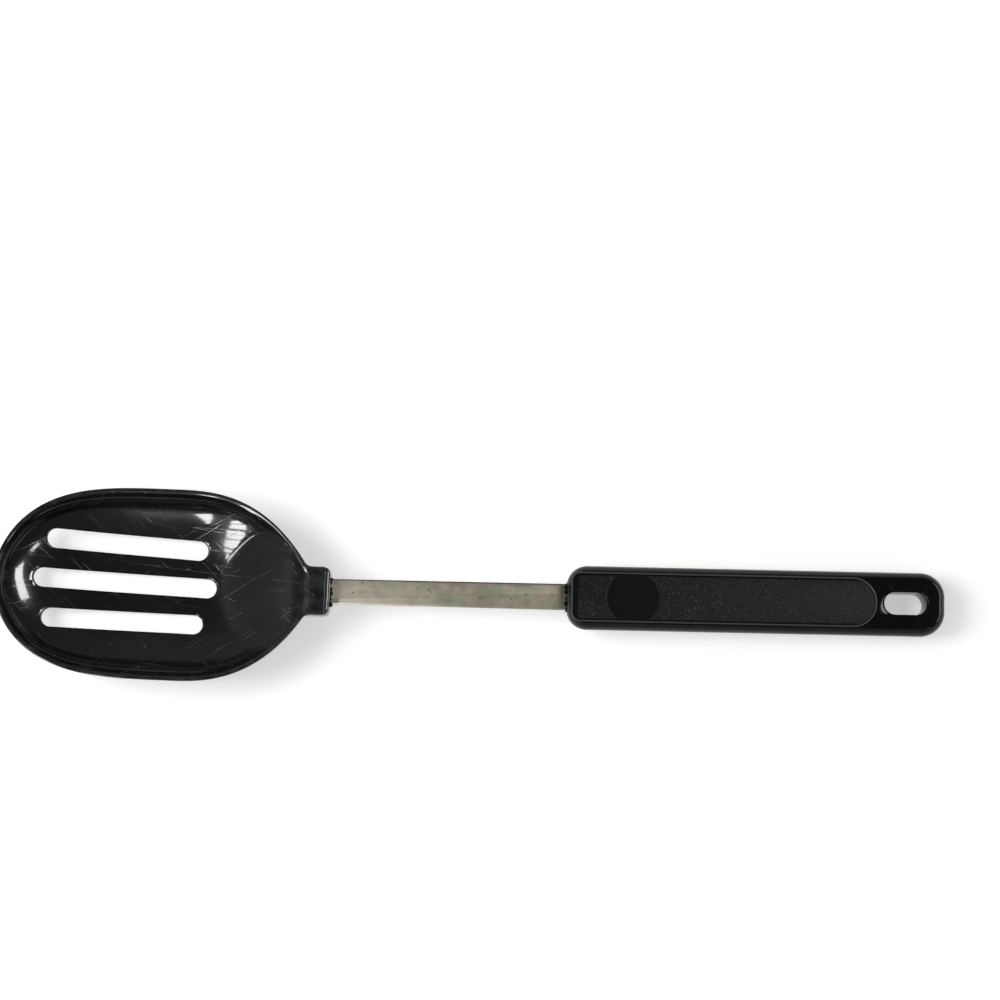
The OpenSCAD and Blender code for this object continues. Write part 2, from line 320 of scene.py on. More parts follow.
def dish_shares():
    """Shares of a dish's rings, from the brim inwards, evenly spaced up the wall and across the floor."""
    up_wall = [(1 - (k / WALL_STEPS) ** (1 / WALL_SHARES[2])) ** (1 / WALL_SHARES[0])
               for k in range(WALL_STEPS - FOOT_STEPS)]
    across = [up_wall[-1] * (FLOOR_STEPS - k) / FLOOR_STEPS for k in range(1, FLOOR_STEPS)]
    return up_wall + across + [INNERMOST_SHARE]


def turns():
    return [2 * math.pi * i / OUTLINE_STEPS for i in range(OUTLINE_STEPS)]


def dish_ring(share, inset, heights):
    ring = []
    for turn in turns():
        x, y = (share * c for c in outline_point(turn, inset))
        ring.append((x, y, dish_height(x, share, **heights)))
    return ring


def flat_ring(inset, z):
    return [(*outline_point(turn, inset), z) for turn in turns()]


# Working with meshes

def deselect_all():
    if bpy.context.mode != "OBJECT":
        bpy.ops.object.mode_set(mode="OBJECT")
    bpy.ops.object.select_all(action="DESELECT")


def activate(piece):
    deselect_all()
    piece.select_set(True)
    bpy.context.view_layer.objects.active = piece


def place_selected(piece, points, label):
    """Puts the selected ring of vertices on its points and remembers which ring it is."""
    mesh = bmesh.from_edit_mesh(piece.data)
    order = mesh.verts.layers.int["order"]
    ring = mesh.verts.layers.int["ring"]
    for vertex in mesh.verts:
        if vertex.select:
            vertex.co = points[vertex[order]]
            vertex[ring] = label
    bmesh.update_edit_mesh(piece.data)


def select_rings(piece, labels):
    bpy.ops.mesh.select_all(action="DESELECT")
    mesh = bmesh.from_edit_mesh(piece.data)
    ring = mesh.verts.layers.int["ring"]
    for edge in mesh.edges:
        first, last = edge.verts
        if first[ring] == last[ring] and first[ring] in labels:
            edge.select = True
    bmesh.update_edit_mesh(piece.data)


def loft(name, rings, joined=False):
    """A closed skin over rings of equal count: a circle, extruded ring by ring, then capped or joined up."""
    deselect_all()
    bpy.ops.mesh.primitive_circle_add(vertices=len(rings[0]), radius=1, fill_type="NOTHING")
    piece = bpy.context.object
    piece.name = name
    piece.data.name = name
    bpy.ops.object.mode_set(mode="EDIT")
    bpy.ops.mesh.select_mode(type="EDGE")
    bpy.ops.mesh.select_all(action="SELECT")
    mesh = bmesh.from_edit_mesh(piece.data)
    order = mesh.verts.layers.int.new("order")
    mesh.verts.layers.int.new("ring")
    round_turn = sorted(mesh.verts, key=lambda v: math.atan2(v.co.y, v.co.x) % (2 * math.pi))
    for i, vertex in enumerate(round_turn):
        vertex[order] = i
    place_selected(piece, rings[0], 0)
    for label, points in enumerate(rings[1:], 1):
        bpy.ops.mesh.extrude_region_move()
        place_selected(piece, points, label)
    last = len(rings) - 1
    if joined:
        select_rings(piece, (0, last))
        bpy.ops.mesh.bridge_edge_loops()
    else:
        for label in (0, last):
            select_rings(piece, (label,))
            bpy.ops.mesh.edge_face_add()
    bpy.ops.mesh.select_all(action="SELECT")
    bpy.ops.mesh.normals_make_consistent(inside=False)
    bpy.ops.object.mode_set(mode="OBJECT")
    return piece


def combine(piece, operation, *others):
    """Unites the piece with others, or cuts them out of it, and deletes them."""
    for other in others:
        activate(piece)
        change = piece.modifiers.new(operation.lower(), "BOOLEAN")
        change.operation = operation
        change.solver = "MANIFOLD"
        change.object = other
        bpy.ops.object.modifier_apply(modifier=change.name)
        bpy.data.objects.remove(other, do_unlink=True)
    return piece


def join(piece, *others):
    activate(piece)
    for other in others:
        other.select_set(True)
    bpy.ops.object.join()
    return piece


def put(piece, placing):
    """Moves the piece to its place in the row frame and leaves its object at the origin."""
    activate(piece)
    piece.matrix_world = placing @ piece.matrix_world
    bpy.context.view_layer.update()
    bpy.ops.object.transform_apply(location=True, rotation=True, scale=True)
    return piece


def smooth(piece, degrees=SMOOTH_UNDER):
    """Smooths the edges that turn by fewer degrees."""
    activate(piece)
    bpy.ops.object.shade_smooth_by_angle(angle=math.radians(degrees))
    return piece


def clean(piece):
    """Merges what the cuts left doubled."""
    activate(piece)
    bpy.ops.object.mode_set(mode="EDIT")
    bpy.ops.mesh.select_all(action="SELECT")
    bpy.ops.mesh.remove_doubles(threshold=SAME_PLACE)
    bpy.ops.mesh.dissolve_degenerate(threshold=SAME_PLACE)
    bpy.ops.object.mode_set(mode="OBJECT")
    return piece


# The places of the bowl and of the strip in the row frame

def middle():
    """The place of the whole spoon's middle, seen from the collar's rear end."""
    across = []
    for turn in turns():
        x, y = outline_point(turn, 0)
        x += WIDEST_X
        across.append(y * math.cos(BOWL_LEAN) - x * math.sin(BOWL_LEAN))
    end = (STRIP_LENGTH + HANDLE_LENGTH) * math.cos(REST_TILT)
    return Vector((end - CAD_HIGH.x, max(across) - CAD_HIGH.y, 0))


MIDDLE = middle()
BOWL_PLACING = (Matrix.Translation(-MIDDLE) @ Matrix.Rotation(-BOWL_LEAN, 4, "Z")
                @ Matrix.Translation((WIDEST_X, 0, 0)))
COLLAR_PLACING = Matrix.Translation(-MIDDLE) @ Matrix.Rotation(-BOWL_LEAN, 4, "Z")
STRIP_PLACING = (Matrix.Translation(Vector((0, 0, STRIP_Z)) - MIDDLE)
                 @ Matrix.Rotation(REST_TILT, 4, "Y"))


# Bowl

def bowl_outside():
    rim = quarter_round(RIM_ROUND, [90 * k / RIM_STEPS for k in range(RIM_STEPS + 1)])
    rings = [flat_ring(inward, RIM_TOP - down) for inward, down in rim]
    rings += [dish_ring(share, 0, OUTSIDE) for share in dish_shares()]
    return loft("moulded_bowl", rings)


def bowl_hollow():
    """The dish as a cutter: a wide top, the rounded slope inside the rim, the wall and the floor."""
    slope = []
    for k in range(BRIM_STEPS):
        t = k / BRIM_STEPS
        ring = flat_ring(RIM_WIDTH + BRIM_WIDTH * t, RIM_TOP - BRIM_DROP * t * t)
        slope.append([(x, y, soft_max(z, ramp_height(x, INSIDE["ramp_low"], INSIDE["ramp_high"])))
                      for x, y, z in ring])
    above = flat_ring(RIM_WIDTH - RIM_ROUND, COLLAR_TOP + 2 * OVER)
    skin = [dish_ring(share, WALL_INSET, INSIDE) for share in dish_shares()]
    return loft("hollow", [above] + slope + skin)


def slot_cutter(side):
    """A cutter for the middle slot or for one at a side, that follows the floor and rounds both its edges."""
    length = SLOT_LENGTH if side == 0 else SIDE_SLOT_LENGTH
    placing = (Matrix.Translation((-SLOT_AHEAD, 0, 0)) @ Matrix.Rotation(-SLOT_TURN, 4, "Z")
               @ Matrix.Translation((0, SLOT_SIDE + side * SLOT_PITCH, 0))
               @ Matrix.Rotation(-side * SLOT_FAN, 4, "Z"))

    def ring(grow, lift, inset, heights):
        points = []
        for x, y in obround(length, SLOT_WIDTH, grow):
            p = placing @ Vector((x, y, 0))
            surface = dish_height(p.x, share_at(p.x, p.y, inset), **heights)
            points.append((p.x, p.y, surface + lift))
        return points

    edge = quarter_round(SLOT_LIP, SLOT_EDGE)
    rings = [ring(SLOT_LIP + 2 * OVER, OVER, WALL_INSET, INSIDE)]
    rings += [ring(inward, -down, WALL_INSET, INSIDE) for inward, down in edge]
    rings += [ring(inward, down, 0, OUTSIDE) for inward, down in reversed(edge)]
    rings.append(ring(SLOT_LIP + 2 * OVER, -OVER, 0, OUTSIDE))
    above = [(x, y, COLLAR_TOP + OVER) for x, y, z in rings[0]]
    below = [(x, y, -BOWL_DEPTH) for x, y, z in rings[-1]]
    return loft("slot", [above] + rings + [below])


def collar_ring(x, half, low, high, r):
    places = (arc(half - r, high - r, r, 0) + arc(r - half, high - r, r, 90)
              + arc(r - half, low + r, r, 180) + arc(half - r, low + r, r, 270))
    return [(x, y, z) for y, z in places]


def corner_drop(x, r):
    """How far a corner of radius r falls back at a distance x from its end."""
    return r - math.sqrt(r * r - (r - x) ** 2) if x < r else 0.0


def collar():
    """The block round the strip, from its rear end forwards, with the groove behind its end lip."""
    half, low = COLLAR_WIDTH / 2, COLLAR_TOP - COLLAR_THICKNESS
    stations = [COLLAR_CORNER * (1 - math.cos(math.radians(90 * k / CORNER_STEPS)))
                for k in range(CORNER_STEPS + 1)]
    stations += [LIP_SET + LIP_WIDTH * k / LIP_STEPS for k in range(-LIP_STEPS // 2, LIP_STEPS // 2 + 1)]
    rings = []
    for x in sorted(stations):
        groove = LIP_DEPTH * max(0, 1 - ((x - LIP_SET) / (LIP_WIDTH / 2)) ** 2)
        d = corner_drop(x, COLLAR_ROUND * COLLAR_END_SHARE)
        across = half - corner_drop(x, COLLAR_CORNER) - groove
        rings.append(collar_ring(-x, across, low + d + groove, COLLAR_TOP - d - groove, COLLAR_ROUND - d / 2))
    rings.append(collar_ring(-COLLAR_LENGTH, half, low, COLLAR_TOP, COLLAR_ROUND))
    rings.append(collar_ring(-(COLLAR_LENGTH + BOWL_TANG), half * SOCKET_END_SHARE, low + SOCKET_LIFT,
                             low + SOCKET_LIFT + SOCKET_END_THICKNESS, SOCKET_END_ROUND))
    return loft("collar", rings)


def neck_fillet(side):
    """A web that leads the rim into the collar's side."""
    x0 = NECK_FILLET * FILLET_REACH_SHARE - COLLAR_LENGTH
    outline = [(0, COLLAR_WIDTH / 4)]
    for k in range(CORNER_STEPS + 1):
        a = FILLET_TURN * k / CORNER_STEPS
        outline.append((-NECK_FILLET * math.sin(a), COLLAR_WIDTH / 2 + NECK_FILLET * (1 - math.cos(a))))
    outline.append((-2 * NECK_FILLET, COLLAR_WIDTH / 4))

    def ring(z, inset):
        return [(x0 + x, side * (y - inset), z) for x, y in outline]

    top = RIM_TOP - FILLET_DROP
    return loft("fillet", [ring(RIM_TOP - RIM_HEIGHT, 0), ring(top - RIM_ROUND, 0),
                           ring(top - RIM_ROUND * 0.4, FILLET_EASE), ring(top, RIM_ROUND)])


def foot_cutter():
    """A block under the table, that takes the flat foot off the bowl."""
    deselect_all()
    bpy.ops.mesh.primitive_cube_add(size=1, location=(-MIDDLE.x + WIDEST_X, 0, -BOWL_DEPTH / 2),
                                    scale=(2 * TIP_LENGTH, 2 * BOWL_WIDTH, BOWL_DEPTH))
    return bpy.context.object


def make_bowl():
    bowl = bowl_outside()
    put(bowl, BOWL_PLACING)
    for piece in (collar(), neck_fillet(1), neck_fillet(-1)):
        combine(bowl, "UNION", put(piece, COLLAR_PLACING))
    combine(bowl, "DIFFERENCE", put(bowl_hollow(), BOWL_PLACING), foot_cutter())
    for side in (-1, 0, 1):
        combine(bowl, "DIFFERENCE", put(slot_cutter(side), BOWL_PLACING))
    combine(bowl, "DIFFERENCE", put(strip_block("socket"), STRIP_PLACING))
    clean(bowl)
    join(bowl, flash(0, 1, 1, 1.7), flash(0, 1, -1, 2.9))
    return smooth(bowl)


# Strip

def strip_block(name):
    """The strip with its two tangs as a plain bar, which also cuts its sockets. It narrows by the bowl."""
    deselect_all()
    length = BOWL_TANG + STRIP_LENGTH + HANDLE_TANG
    bpy.ops.mesh.primitive_cube_add(size=1, location=(length / 2 - BOWL_TANG, 0, 0),
                                    scale=(length, STRIP_WIDTH, STRIP_THICKNESS))
    piece = bpy.context.object
    piece.name = name
    bpy.ops.object.transform_apply(location=True, rotation=True, scale=True)
    activate(piece)
    bpy.ops.object.mode_set(mode="EDIT")
    mesh = bmesh.from_edit_mesh(piece.data)
    for vertex in mesh.verts:
        vertex.select_set(vertex.co.x < 0 and vertex.co.y < 0)
    mesh.select_flush(True)
    bmesh.update_edit_mesh(piece.data)
    bpy.ops.transform.translate(value=(0, STRIP_TAPER, 0))
    bpy.ops.object.mode_set(mode="OBJECT")
    return piece


def flash(x, way, face, wander):
    """A ragged web of plastic that crept out of the mould over the strip, on its top or its back."""
    deselect_all()
    bpy.ops.mesh.primitive_grid_add(x_subdivisions=2, y_subdivisions=FLASH_STEPS, size=1)
    web = bpy.context.object
    bpy.ops.object.mode_set(mode="EDIT")
    mesh = bmesh.from_edit_mesh(web.data)
    for vertex in mesh.verts:
        along, across = vertex.co.x + 0.5, vertex.co.y
        # three waves of unlike length fray the edge on the strip, and the other edge stays in the mouth
        fray = 0.55 + 0.3 * math.sin(13 * across + wander) + 0.25 * math.sin(33 * across + 2 * wander)
        fray += 0.15 * math.sin(57 * across * wander)
        reach = max(fray, FLASH_LEAST) * FLASH_REACH * FLASH_CREEP
        lift = STRIP_THICKNESS / 2 + FLASH_THICKNESS * 0.4 * (1 - along)
        vertex.co = (x + way * (along * reach - (1 - along) * FLASH_REACH),
                     across * (STRIP_WIDTH + FLASH_OVERHANG), face * lift)
    bmesh.update_edit_mesh(web.data)
    bpy.ops.object.mode_set(mode="OBJECT")
    thick = web.modifiers.new("thick", "SOLIDIFY")
    thick.thickness = FLASH_THICKNESS
    thick.offset = 0
    bpy.ops.object.modifier_apply(modifier=thick.name)
    bpy.ops.object.mode_set(mode="EDIT")
    bpy.ops.mesh.select_all(action="SELECT")
    bpy.ops.mesh.normals_make_consistent(inside=False)
    bpy.ops.object.mode_set(mode="OBJECT")
    return put(web, STRIP_PLACING)


def make_strip():
    strip = strip_block("steel_strip")
    activate(strip)
    bpy.ops.object.mode_set(mode="EDIT")
    bpy.ops.mesh.select_all(action="SELECT")
    bpy.ops.mesh.bevel(offset=STRIP_EDGE, segments=STRIP_EDGE_STEPS, affect="EDGES")
    bpy.ops.object.mode_set(mode="OBJECT")
    inner_end = STRIP_LENGTH + HANDLE_TANG - KEY_EDGE
    for x in (KEY_EDGE - BOWL_TANG, inner_end, inner_end - KEY_GAP):
        deselect_all()
        bpy.ops.mesh.primitive_cylinder_add(vertices=KEY_STEPS, radius=KEY_DIAMETER / 2,
                                            depth=3 * STRIP_THICKNESS, location=(x, 0, 0))
        combine(strip, "DIFFERENCE", bpy.context.object)
    put(strip, STRIP_PLACING)
    return smooth(strip, STRIP_SMOOTH_UNDER)


# Handle

def bed_ring(grow, z):
    half = PANEL_WIDTH / 2 + grow
    x0 = STRIP_LENGTH + PANEL_SET
    return rounded_rectangle(x0 - grow, x0 + PANEL_LENGTH + grow, half, PANEL_CORNER + grow,
                             half * BED_END_SHARE, z)


def handle_block():
    """The handle's bar, with bulging sides, softly rounded edges to its faces and a blunter nose."""
    side_round = ((HANDLE_THICKNESS / 2) ** 2 + SIDE_DROP ** 2) / (2 * SIDE_DROP)
    top = HANDLE_THICKNESS / 2
    profile = []
    for k in range(SIDE_STEPS + 1):
        z = (top - FACE_EDGE_ROUND * FACE_EDGE_START) * k / SIDE_STEPS
        profile.append((side_round - math.sqrt(side_round ** 2 - z * z), z))
    drop, z = profile[-1]
    for share_out, share_up in FACE_EDGE_CURVE:
        profile.append((drop + FACE_EDGE_ROUND * share_out, z + (top - z) * share_up))
    whole = [(d, -z) for d, z in reversed(profile[1:])] + profile
    rings = []
    for d, z in reversed(whole):
        rings.append(rounded_rectangle(STRIP_LENGTH + NOSE_SHARE * d, STRIP_LENGTH + HANDLE_LENGTH - d,
                                       HANDLE_WIDTH / 2 - d, FRONT_CORNER - d, REAR_CORNER - d, z))
    return loft("moulded_handle", rings)


def bead(face):
    """The half-round bead round a panel bed, on the top face or on the back one."""
    top = HANDLE_THICKNESS / 2
    rings = [bed_ring(BEAD_WIDTH, face * (top - OVER / 2))]
    for k in range(BEAD_STEPS + 1):
        a = math.radians(180 * k / BEAD_STEPS)
        grow = BEAD_WIDTH / 2 * (1 + math.cos(a))
        rings.append(bed_ring(grow, face * (top + BEAD_HEIGHT * math.sin(a))))
    rings.append(bed_ring(0, face * (top - OVER / 2)))
    return loft("bead", rings, joined=True)


def bed(face):
    top = HANDLE_THICKNESS / 2
    return loft("bed", [bed_ring(0, face * (top + OVER)), bed_ring(0, face * (top - BED_DEPTH))])


def hanging_hole():
    top = HANDLE_THICKNESS / 2

    def ring(grow, z):
        return [(HOLE_X + x, y, z) for x, y in obround(HOLE_LENGTH, HOLE_WIDTH, grow)]

    edge = quarter_round(HOLE_ROUND, HOLE_EDGES)
    rings = [ring(HOLE_ROUND + OVER, top + OVER / 2)]
    rings += [ring(inward, top - down) for inward, down in edge]
    rings += [ring(inward, -top + down) for inward, down in reversed(edge)]
    rings.append(ring(HOLE_ROUND + OVER, -top - OVER / 2))
    return loft("hole", rings)


def make_handle():
    handle = handle_block()
    combine(handle, "UNION", bead(1), bead(-1))
    combine(handle, "DIFFERENCE", bed(1), bed(-1), hanging_hole(), strip_block("socket"))
    clean(handle)
    put(handle, STRIP_PLACING)
    join(handle, flash(STRIP_LENGTH, -1, 1, 4.3), flash(STRIP_LENGTH, -1, -1, 3.1))
    return smooth(handle)


# Grip panels

def make_panel(name, face):
    """A panel with eased edges, for the bed in the top face or for the one in the back."""
    rings = [bed_ring(-PANEL_GAP, face * (PANEL_TOP - PANEL_THICKNESS))]
    rings += [bed_ring(-PANEL_GAP - inward, face * (PANEL_TOP - down))
              for inward, down in quarter_round(PANEL_EDGE, PANEL_EDGES)]
    return loft(name, rings)


def disc_cutter():
    """A shallow round recess with sloping sides."""
    def ring(radius, z):
        return [(STRIP_LENGTH + DISC_SET + radius * math.cos(2 * math.pi * i / DISC_STEPS),
                 radius * math.sin(2 * math.pi * i / DISC_STEPS), z) for i in range(DISC_STEPS)]

    r = DISC_DIAMETER / 2
    return loft("disc", [ring(r + DISC_DEPTH / 2, PANEL_TOP + OVER), ring(r, PANEL_TOP - DISC_DEPTH / 4),
                         ring(r - DISC_DEPTH, PANEL_TOP - DISC_DEPTH)])


# Materials

NYLON_BLACK = "#0f0f10"
NYLON_HAZED = "#141617"
NYLON_SCRATCHED = "#5d666e"
NYLON_RUBBED = "#43484c"
STEEL_WARM = "#776a5f"
STEEL_PALE = "#7d776d"
STEEL_COOL = "#6a6e5e"
STEEL_PAINTED_LIGHT = "#b2ac9e"
STEEL_RING = "#88887d"
STEEL_PIT = "#4a4438"
STEEL_SPECK = "#aaa48e"
STEEL_EDGE_SHADE = "#3a3833"
HANDLE_BLACK = "#0d0d0e"
HANDLE_WORN = "#131314"
HANDLE_DUST = "#4c4f52"
HANDLE_BEAD_HIGHLIGHT = "#4c4e50"
GRIP_BORDER = "#0d0c0c"
GRIP_FIELD = "#0b0c0d"
GRIP_PEBBLE_HIGHLIGHT = "#394042"

# Where the painted light on the strip fades out, in X, and the place and radius of the ring that a drop left
PAINTED_LIGHT_FROM, PAINTED_LIGHT_TO = -0.05, 0.0
DROP_PLACE = (-0.0335, -0.0033, 0.0125)
DROP_RADIUS = 0.0019

# Where the pebbled field starts, and its middle line, in the row frame
FIELD_START = (STRIP_LENGTH + PANEL_SET + FIELD_SET) * math.cos(REST_TILT) - MIDDLE.x
FIELD_MIDDLE = -MIDDLE.y


def connect(tree, node, inputs):
    """Gives each input its value, or links it to a socket or to the first output of a node that is in use."""
    for name, value in inputs.items():
        if isinstance(value, bpy.types.Node):
            value = next(output for output in value.outputs if output.enabled)
        if isinstance(value, bpy.types.NodeSocket):
            tree.links.new(value, node.inputs[name])
        else:
            node.inputs[name].default_value = value


def add_node(tree, kind, inputs=None, **settings):
    """Adds a node with its settings and connects its inputs."""
    made = tree.nodes.new(kind)
    for name, value in settings.items():
        setattr(made, name, value)
    connect(tree, made, inputs or {})
    return made


def bare_tree(owner):
    """The emptied node tree of a material or of the world."""
    owner.use_nodes = True
    owner.node_tree.nodes.clear()
    return owner.node_tree


def new_material(name):
    """A material with its tree, its shader and the place that its patterns read."""
    material = bpy.data.materials.new(name)
    tree = bare_tree(material)
    shader = add_node(tree, "ShaderNodeBsdfPrincipled")
    add_node(tree, "ShaderNodeOutputMaterial", {"Surface": shader})
    place = add_node(tree, "ShaderNodeTexCoord").outputs["Object"]
    return material, tree, shader, place


def per_mm(size):
    """A texture's scale for a feature of that many millimetres."""
    return 1000 / size


def scratches(tree, place, turn, run, gap, width, shift):
    """Fine scratches: level lines of a noise that is drawn out along one direction, broken into patches.

    A scratch is about run millimetres long, and the next one lies about gap millimetres beside it.
    """
    drawn = add_node(tree, "ShaderNodeMapping", {
        "Vector": place, "Location": (shift, shift, 0), "Rotation": (0, 0, turn),
        "Scale": (run / 1000, gap / 1000, run / 1000)}, vector_type="TEXTURE")
    field = add_node(tree, "ShaderNodeTexNoise", {
        "Vector": drawn, "Scale": 1.0, "Detail": 0.0, "Distortion": 0.1})
    off = add_node(tree, "ShaderNodeMath", {0: field, 1: 0.5}, operation="SUBTRACT")
    off = add_node(tree, "ShaderNodeMath", {0: off}, operation="ABSOLUTE")
    line = add_node(tree, "ShaderNodeMapRange", {
        "Value": off, "From Min": width * 0.3, "From Max": width, "To Min": 1.0, "To Max": 0.0})
    patch = add_node(tree, "ShaderNodeTexNoise", {"Vector": drawn, "Scale": 0.9, "Detail": 2.0})
    patch = add_node(tree, "ShaderNodeMapRange", {"Value": patch, "From Min": 0.54, "From Max": 0.7})
    return add_node(tree, "ShaderNodeMath", {0: line, 1: patch}, operation="MULTIPLY")


def moulded_nylon():
    """Nylon from a polished mould: deep black and glossy, hazed and covered in fine pale scratches by use."""
    material, tree, shader, place = new_material("moulded_black_nylon")
    haze = add_node(tree, "ShaderNodeTexNoise", {
        "Vector": place, "Scale": per_mm(24), "Detail": 4.0, "Roughness": 0.6})
    haze = add_node(tree, "ShaderNodeMapRange", {"Value": haze, "From Min": 0.35, "From Max": 0.7})
    # stirring and washing have scratched it in three directions
    marks = scratches(tree, place, -0.12, 38, 1.8, 0.014, 0.3)
    for layer in (scratches(tree, place, 0.5, 30, 1.7, 0.014, 0.7),
                  scratches(tree, place, -0.75, 28, 1.7, 0.013, 1.9)):
        marks = add_node(tree, "ShaderNodeMath", {0: marks, 1: layer}, operation="MAXIMUM")
    scratched = add_node(tree, "ShaderNodeMath", {0: marks, 1: 0.34}, operation="MULTIPLY")
    # pots and drawers have rubbed the top of the rim
    at = add_node(tree, "ShaderNodeSeparateXYZ", {0: place})
    rim = add_node(tree, "ShaderNodeMapRange", {
        "Value": at.outputs["Z"], "From Min": RIM_TOP - 0.0004, "From Max": RIM_TOP - 0.0001})
    knocks = add_node(tree, "ShaderNodeTexNoise", {
        "Vector": place, "Scale": per_mm(4), "Detail": 3.0, "Roughness": 0.6})
    knocks = add_node(tree, "ShaderNodeMapRange", {
        "Value": knocks, "From Min": 0.35, "From Max": 0.7, "To Max": 0.4})
    wear_and_highlight = add_node(tree, "ShaderNodeMath", {0: rim, 1: knocks}, operation="MULTIPLY")
    colour = srgb(NYLON_BLACK)
    for share, tone in ((haze, NYLON_HAZED), (scratched, NYLON_SCRATCHED), (wear_and_highlight, NYLON_RUBBED)):
        colour = add_node(tree, "ShaderNodeMix", {
            "Factor": share, "A": colour, "B": srgb(tone)}, data_type="RGBA")
    dull = add_node(tree, "ShaderNodeMapRange", {"Value": haze, "To Min": 0.17, "To Max": 0.27})
    dull = add_node(tree, "ShaderNodeMath", {0: marks, 1: 0.12, 2: dull}, operation="MULTIPLY_ADD")
    # the mould's faint waviness bends the reflections, and each scratch is a shallow furrow
    wave = add_node(tree, "ShaderNodeTexNoise", {"Vector": place, "Scale": per_mm(5), "Detail": 1.0})
    wave = add_node(tree, "ShaderNodeMath", {0: wave, 1: 0.25}, operation="MULTIPLY")
    relief = add_node(tree, "ShaderNodeMath", {0: marks, 1: -0.4, 2: wave}, operation="MULTIPLY_ADD")
    bump = add_node(tree, "ShaderNodeBump", {"Strength": 1.0, "Distance": 0.00004, "Height": relief})
    # the polished skin gives the sharp, weak reflections, and what lies under it the soft ones
    connect(tree, shader, {
        "Base Color": colour, "Roughness": dull, "IOR": 1.53, "Specular IOR Level": 0.06, "Normal": bump,
        "Coat Weight": 0.35, "Coat Roughness": 0.07, "Coat IOR": 1.5, "Coat Normal": bump})
    return material


def rolled_stainless():
    """Stainless steel as rolled: a dull warm grey with a lengthwise grain, water stains and a few pits, with
    painted light at the end by the bowl and painted shade along its edges.
    """
    material, tree, shader, place = new_material("rolled_stainless_steel")
    at = add_node(tree, "ShaderNodeSeparateXYZ", {0: place})
    # the real grain is too fine to show, so it is drawn 0.5 mm wide
    grain = add_node(tree, "ShaderNodeMapping", {
        "Vector": place, "Scale": (per_mm(14), per_mm(0.5), per_mm(0.5))})
    grain = add_node(tree, "ShaderNodeTexNoise", {"Vector": grain, "Scale": 1.0, "Detail": 3.0})
    blotch = add_node(tree, "ShaderNodeTexNoise", {
        "Vector": place, "Scale": per_mm(3.2), "Detail": 3.0, "Roughness": 0.55})
    blotch = add_node(tree, "ShaderNodeMapRange", {"Value": blotch, "From Min": 0.33, "From Max": 0.67})
    tint = add_node(tree, "ShaderNodeTexNoise", {"Vector": place, "Scale": per_mm(4.5), "Detail": 2.0})
    tint = add_node(tree, "ShaderNodeMapRange", {"Value": tint, "From Min": 0.38, "From Max": 0.66})
    # painted light: the end by the bowl is painted lighter, as if light falls on it from that side
    painted_light = add_node(tree, "ShaderNodeMapRange", {
        "Value": at.outputs["X"], "From Min": PAINTED_LIGHT_FROM, "From Max": PAINTED_LIGHT_TO,
        "To Min": 0.55, "To Max": 0.0})
    # one dried drop has left a ring
    ring = add_node(tree, "ShaderNodeVectorMath", {0: place, 1: DROP_PLACE}, operation="DISTANCE")
    ring = add_node(tree, "ShaderNodeMath", {0: ring, 1: DROP_RADIUS}, operation="SUBTRACT")
    ring = add_node(tree, "ShaderNodeMath", {0: ring}, operation="ABSOLUTE")
    ring = add_node(tree, "ShaderNodeMapRange", {
        "Value": ring, "From Max": 0.0006, "To Min": 0.45, "To Max": 0.0})
    # dark pits, and pale specks of dried water at the end with the painted light
    pit = add_node(tree, "ShaderNodeTexVoronoi", {"Vector": place, "Scale": per_mm(3.6), "Randomness": 1.0})
    pit = add_node(tree, "ShaderNodeMapRange", {
        "Value": pit, "From Min": 0.07, "From Max": 0.13, "To Min": 0.8, "To Max": 0.0})
    speck = add_node(tree, "ShaderNodeTexVoronoi", {"Vector": place, "Scale": per_mm(2.6), "Randomness": 1.0})
    speck = add_node(tree, "ShaderNodeMapRange", {
        "Value": speck, "From Min": 0.1, "From Max": 0.2, "To Min": 1.0, "To Max": 0.0})
    speck = add_node(tree, "ShaderNodeMath", {0: speck, 1: painted_light}, operation="MULTIPLY")
    # painted shade: both long edges of the strip are painted dark, in patches, for the dark surroundings that
    # its rounded edges mirror
    edge = add_node(tree, "ShaderNodeMath", {0: at.outputs["Y"], 1: MIDDLE.y}, operation="ADD")
    edge = add_node(tree, "ShaderNodeMath", {0: edge}, operation="ABSOLUTE")
    edge = add_node(tree, "ShaderNodeMapRange", {
        "Value": edge, "From Min": STRIP_WIDTH / 2 - 0.00055, "From Max": STRIP_WIDTH / 2 - 0.0003})
    edge_shade_depth = add_node(tree, "ShaderNodeMapRange", {"Value": blotch, "To Min": 0.7, "To Max": 0.95})
    edge = add_node(tree, "ShaderNodeMath", {0: edge, 1: edge_shade_depth}, operation="MULTIPLY")
    colour = srgb(STEEL_WARM)
    for share, tone in ((blotch, STEEL_PALE), (tint, STEEL_COOL), (painted_light, STEEL_PAINTED_LIGHT), (ring, STEEL_RING),
                        (pit, STEEL_PIT), (speck, STEEL_SPECK), (edge, STEEL_EDGE_SHADE)):
        colour = add_node(tree, "ShaderNodeMix", {
            "Factor": share, "A": colour, "B": srgb(tone)}, data_type="RGBA")
    dull = add_node(tree, "ShaderNodeMath", {0: grain, 1: 0.1, 2: 0.32}, operation="MULTIPLY_ADD")
    dull = add_node(tree, "ShaderNodeMath", {0: blotch, 1: 0.03, 2: dull}, operation="MULTIPLY_ADD")
    bump = add_node(tree, "ShaderNodeBump", {"Strength": 0.5, "Distance": 0.00001, "Height": grain})
    connect(tree, shader, {"Base Color": colour, "Metallic": 1.0, "Roughness": dull, "Normal": bump})
    return material


